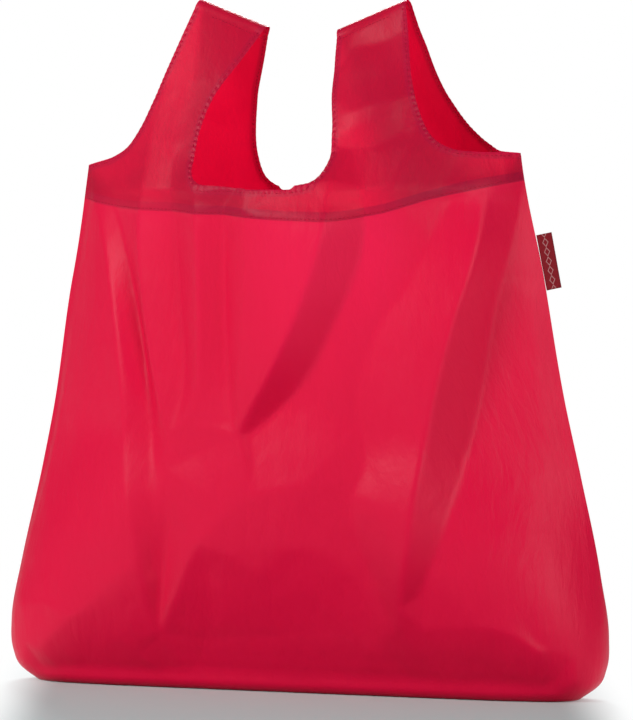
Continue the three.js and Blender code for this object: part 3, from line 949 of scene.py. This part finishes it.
def stitch_line(panel, line, inner):
    """A row of stitches along a line on the outer or inner side of the cloth."""
    even = smooth_line(line[::4], STITCH["pitch"] / 4)
    most = max(int(gaps_of(line).sum() / STITCH["pitch"]), 1)
    starts, ends = even[:-3:4][:most], even[3::4][:most]
    middles = (starts + ends) / 2
    normal = outward(*middles.T)
    if panel == "back":
        normal[:, 1] *= -1
    sink = -inset_at(STITCH["from_edge"]) if inner else 0.0
    first, last = (cloth(panel, *places.T)[0] + normal * sink for places in (starts, ends))
    return first, last, -normal if inner else normal, middles


def stitch_paths(panel):
    """Along the free edges, along the hem, and beside the seam at the top of each handle."""
    short, hem_xs, join_xs = 4, np.linspace(-182, 182, 120), np.linspace(33, 83, 24)
    paths = [(edge + inward_of(edge) * STITCH["from_edge"])[short:-short] for edge in free_edge(panel)]
    paths.append(columns(hem_xs, hem_at[panel](hem_xs) + STITCH["over_hem"]))
    if panel == "front":
        for side in (-1, 1):
            paths.append(columns(side * join_xs, join_at(join_xs) - STITCH["below_join"]))
    return paths


def stitches():
    groups = {"bag": [], "left_handle": [], "right_handle": []}
    for panel in ("front", "back"):
        for path in stitch_paths(panel):
            for inner in (False, True):
                first, last, direction, middles = stitch_line(panel, path, inner)
                high = middles[:, 1] > ROOT_LOW
                left = middles[:, 0] < 0
                masks = {"bag": ~high, "left_handle": high & left, "right_handle": high & ~left}
                for body, mask in masks.items():
                    groups[body].append((first[mask], last[mask], direction[mask]))
    for body, rows in groups.items():
        first, last, direction = (np.concatenate(column) for column in zip(*rows))
        points, faces = spindles(first, last, direction, STITCH["thick"])
        settle(make_mesh(f"{body}_stitches", points, faces), "seam_thread", body=body)


stitches()


# ---------------- sheets with a thickness
FAR = 30.0  # from any free edge or hem


def thick_sheet(name, grid, thick):
    """A closed sheet around a grid of middle points, one row after another."""
    grid = np.asarray(grid, float)
    rows, across, _ = grid.shape
    normal = unit(np.cross(np.gradient(grid, axis=1), np.gradient(grid, axis=0)))
    sides = [grid + normal * thick / 2, grid - normal * thick / 2]
    points = np.concatenate([side.reshape(-1, 3) for side in sides])
    back = rows * across
    index = np.arange(back).reshape(rows, across)
    faces = []
    for row in range(rows - 1):
        for column in range(across - 1):
            a = index[row, column]
            b, c, d = a + 1, a + across + 1, a + across
            faces += [(a, b, c, d), (back + d, back + c, back + b, back + a)]
    rim = [*index[0], *index[1:, -1], *index[-1, -2::-1], *index[-2:0:-1, 0]]
    for a, b in zip(rim, rim[1:] + rim[:1]):
        faces.append((b, a, back + a, back + b))
    flat = np.concatenate([grid[..., ::2].reshape(-1, 2)] * 2)
    far = np.full(len(points), FAR)
    return make_mesh(name, points, faces, None, flat, {"edge": far, "hem": -far})


def millimetres(node):
    low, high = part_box(node)
    return np.array(low) / MM, np.array(high) / MM


def overlocked(node, x, y, z, direction):
    """A seam allowance: a wavy ribbon whose free edge is sewn over with loops of thread."""
    wide, thick, sway, loop = 6, 0.7, 0.5, 0.25
    line = columns(x, y, z)
    inward = np.tile(np.array(direction, float), (len(line), 1))
    sideways = unit(np.cross(np.gradient(line, axis=0), inward))
    steps = np.arange(len(line))
    rows = []
    for share in (0, 0.25, 0.5, 0.75, 1):
        lean = sway * share * np.sin(steps / 3.1)
        scallop = loop * share * np.sin(steps * 2.1)
        rows.append(line + inward * (wide * share + scallop)[:, None] + sideways * lean[:, None])
    settle(thick_sheet(f"{node}_thread", rows, thick), "seam_thread", [node])


def seams():
    inside = 4  # of the bag's outline
    counts = {"side": 150, "corner": 24, "bottom": 200}  # of the points along each seam
    for name, side in (("left", -1), ("right", 1)):
        node = f"{name}_side_seam"
        low, high = millimetres(node)
        up = np.linspace(low[2], high[2], counts["side"])
        overlocked(node, side * (half_width_at(up) - inside), 0, up, (-side, 0, 0))
        node = f"{name}_corner_seam"
        low, high = millimetres(node)
        y = np.linspace(low[1], high[1], counts["corner"])
        overlocked(node, (low[0] + high[0]) / 2, y, low[2], (0, 0, 1))
    low, high = millimetres("bottom_seam")
    x = np.linspace(low[0], high[0], counts["bottom"])
    overlocked("bottom_seam", x, 0, low[2], (0, 0, 1))


seams()


# ---------------- the label
def side_label():
    """A woven band folded in two, standing out of the right side seam."""
    low, high = millimetres("side_label")
    middle = (low[2] + high[2]) / 2
    lean = math.atan2(half_width_at(middle - 20) - half_width_at(middle + 20), 40)
    foot = half_width_at(middle) + 0.5
    thick, most_curl, tall_points, wide_points = 0.7, 0.7, 30, 12
    outs = np.linspace(0, LABEL_WIDE, wide_points)
    rows = []
    for up in np.linspace(-LABEL_TALL / 2, LABEL_TALL / 2, tall_points):
        row = []
        for out in outs:
            curl = most_curl * (out / LABEL_WIDE) ** 2 * math.sin(up / LABEL_TALL * 3.0)
            x = foot + out * math.cos(lean) - up * math.sin(lean)
            row.append((x, curl, middle + up * math.cos(lean) + out * math.sin(lean)))
        rows.append(row)
    piece = thick_sheet("side_label_band", rows, thick)
    grid = [(out, up) for up in np.linspace(0, LABEL_TALL, tall_points) for out in outs]
    for corner, loop in zip(piece.data.uv_layers["cloth"].data, piece.data.loops):
        out, up = grid[loop.vertex_index % len(grid)]
        corner.uv = (out * 0.001, up * 0.001)
    settle(piece, "woven_label", ["side_label"], "label")


side_label()


# ---------------- the pouch
def hung_sheet(name, path, puff, corner=8, body="pouch", slot="shell_cloth", ending="cloth"):
    """A sheet across the bag that follows a path in (y, z), with rounded lower corners."""
    thick, step_long, straight_points, wide_points = 0.5, 2.0, 30, 33
    half_width = millimetres(name)[1][0]
    straight = len(path) == 2
    line = np.linspace(*path, straight_points) if straight else smooth_line(path, step_long)
    low_z = line[:, 1].min()
    rows = []
    for step, (y, z) in enumerate(line):
        up = z - low_z
        narrow = corner - math.sqrt(max(corner**2 - (corner - up) ** 2, 0)) if up < corner else 0
        row = []
        for share in np.linspace(-1, 1, wide_points):
            x = share * (half_width - narrow)
            crown = (1 - share**2) * math.sin(math.pi * step / (len(line) - 1))
            wrinkle = 0.35 * noise.noise((x / 13, z / 9, y)) + 0.15 * noise.noise((x / 4, z / 4, 5.0))
            row.append((x, y + puff * crown + wrinkle * crown, z))
        rows.append(row)
    settle(thick_sheet(f"{name}_{ending}", rows, thick), slot, [name], body)


def pouch():
    low, high = millimetres("pouch_back")
    front_low, front_high = millimetres("pouch_front")
    flap_low, flap_high = millimetres("pouch_flap")
    band_low, band_high = millimetres("pouch_tether")
    middle = 0.4  # of the cloth, behind the face of its CAD solid
    back_y, top = high[1] - middle, high[2]
    flap_y = (flap_low[1] + flap_high[1]) / 2
    front_y = (front_low[1] + front_high[1]) / 2
    band_y, band_bend = band_low[1] + middle, 368
    back = [(back_y, low[2]), (back_y, top - 4), (back_y - 1.2, top - 0.8)]
    back += [(flap_y + 1, top - 0.6), (flap_y, top - 1.2)]
    hung_sheet("pouch_back", back, -0.3)
    hung_sheet("pouch_front", [(front_y, front_low[2]), (front_y, front_high[2])], 0.4)
    hung_sheet("pouch_flap", [(flap_y, flap_low[2]), (flap_y, flap_high[2])], -0.3, body="flap")
    band = [(band_y, band_low[2]), (band_y, band_bend), (band_high[1] - middle, band_high[2])]
    hung_sheet("pouch_tether", band, 0.0, 0.0, slot="facing_cloth", ending="band")


pouch()


# The snap's round pieces: the end of the name, the body, and the profile. Each point of a profile is its
# radius, the face of the CAD node that it is measured from, and how far behind that face it lies.
FRONT, BACK = 0, 1
SNAPS = {
    "snap_cap": ("button", "flap", [
        (4.9, BACK, 0), (5.0, BACK, -0.35), (4.7, BACK, -0.8), (3.9, BACK, -1.2), (3.2, FRONT, 0.05),
        (2.9, FRONT, 0.25), (0.6, FRONT, 0.25),
    ]),
    "snap_socket": ("ring", "flap", [
        (2.1, FRONT, 0), (4.2, FRONT, 0), (4.5, FRONT, 0.3), (4.4, BACK, -0.15), (2.4, BACK, 0),
        (2.1, BACK, -0.2),
    ]),
    "snap_stud": ("knob", "pouch", [
        (4.5, BACK, 0), (4.5, BACK, -0.4), (1.9, BACK, -0.6), (1.5, BACK, -0.9), (1.7, FRONT, 0.4),
        (1.4, FRONT, 0.1), (0.5, FRONT, 0),
    ]),
    "snap_post": ("disc", "pouch", [
        (4.3, FRONT, 0), (4.5, FRONT, 0.3), (4.2, BACK, -0.1), (2.0, BACK, 0), (0.4, BACK, 0),
    ]),
}


def turned(node, ending, body, profile):
    """A round piece about the CAD node's middle line from front to back."""
    ends = millimetres(node)
    centre = (ends[0] + ends[1]) / 2
    turns = 40
    points, faces = [], []
    for radius, face, behind in profile:
        for turn in range(turns):
            angle = 2 * math.pi * turn / turns
            x = centre[0] + radius * math.cos(angle)
            points.append((x, ends[face][1] + behind, centre[2] + radius * math.sin(angle)))
    rings = len(profile)
    for ring in range(rings - 1):
        for turn in range(turns):
            a, b = ring * turns + turn, ring * turns + (turn + 1) % turns
            faces.append((a, b, b + turns, a + turns))
    faces += [range(turns)[::-1], range((rings - 1) * turns, rings * turns)]
    settle(make_mesh(f"{node}_{ending}", points, faces), "snap_plastic", [node], body)


for node, (ending, body, profile) in SNAPS.items():
    turned(node, ending, body, profile)


# ---------------- floor and light
# The floor's colour to the camera in its painted shadow; the blue-green tint cancels the pink light the bag
# throws onto it.
FLOOR_SEEN = (0.56, 0.66, 0.66, 1)
FLOOR_LIT = (0.34, 0.385, 0.385, 1)  # darker, so that the floor throws little light up at the bag
LIGHTS = [
    ("key", (-1.75, -2.45, 1.75), (0, 0, 0.22), (0.8, 0.8), 70),
    ("fill", (2.2, -1.9, 1.0), (0, 0, 0.2), (0.9, 1.2), 32),
    ("back", (-0.75, 1.9, 1.8), (0, 0, 0.1), (0.5, 1.4), 92),
]


def make_floor():
    """A floor whose grey strip under and before the bag is painted shadow, fading to white to both sides
    and far away.
    """
    size, shadow_strip, shadow_reach = 6.0, (0.195, 0.255), (0.35, 0.8)
    corners = [(-size, -size, 0), (size, -size, 0), (size, size, 0), (-size, size, 0)]
    mesh = bpy.data.meshes.new("floor")
    mesh.from_pydata(corners, [], [(0, 1, 2, 3)])
    floor = put("floor", mesh)
    floor.location.z = -0.0006  # just below the bag
    nodes = Nodes(bpy.data.materials.new("pale_floor"))
    seen = nodes.add("ShaderNodeLightPath").outputs["Is Camera Ray"]
    grey = nodes.add("ShaderNodeBsdfDiffuse", inputs={"Color": nodes.mix(seen, FLOOR_LIT, FLOOR_SEEN)})
    white = nodes.add("ShaderNodeEmission", inputs={"Color": (1, 1, 1, 1), "Strength": 1.0})
    sideways = nodes.add("ShaderNodeVectorMath", operation="DOT_PRODUCT", inputs={
        0: nodes.place(), 1: (math.cos(VIEW_AZIMUTH), math.sin(VIEW_AZIMUTH), 0),
    }).outputs["Value"]
    away = nodes.add("ShaderNodeVectorMath", operation="LENGTH", inputs={0: nodes.place()}).outputs["Value"]
    # Painted shadow: the floor is grey in a strip along the camera's line near the bag, and white emission
    # beside and beyond it.
    beside = nodes.ramp(nodes.math("ABSOLUTE", sideways), *shadow_strip)
    share = nodes.math("MAXIMUM", beside, nodes.ramp(away, *shadow_reach))
    floor.data.materials.append(nodes.finish(nodes.mix_shaders(share, grey.outputs[0], white.outputs[0])))


def make_world():
    """White to the camera, and a weak light to everything else."""
    world = bpy.data.worlds.new("studio")
    nodes = Nodes(world)
    seen = nodes.add("ShaderNodeLightPath").outputs["Is Camera Ray"]
    weak, white = (
        nodes.add("ShaderNodeBackground", inputs={0: (1, 1, 1, 1), 1: strength}).outputs[0]
        for strength in (0.16, 1.0)
    )
    bpy.context.scene.world = nodes.finish(nodes.mix_shaders(seen, weak, white), "ShaderNodeOutputWorld")


def area_light(name, place, target, size, power):
    data = bpy.data.lights.new(name, "AREA")
    data.shape = "RECTANGLE"
    data.size, data.size_y = size
    data.energy = power
    light = put(name, data)
    light.location = place
    light.rotation_euler = (Vector(target) - Vector(place)).to_track_quat("-Z", "Y").to_euler()


make_floor()
make_world()
for light in LIGHTS:
    area_light(*light)
bpy.context.scene.view_settings.view_transform = "Standard"
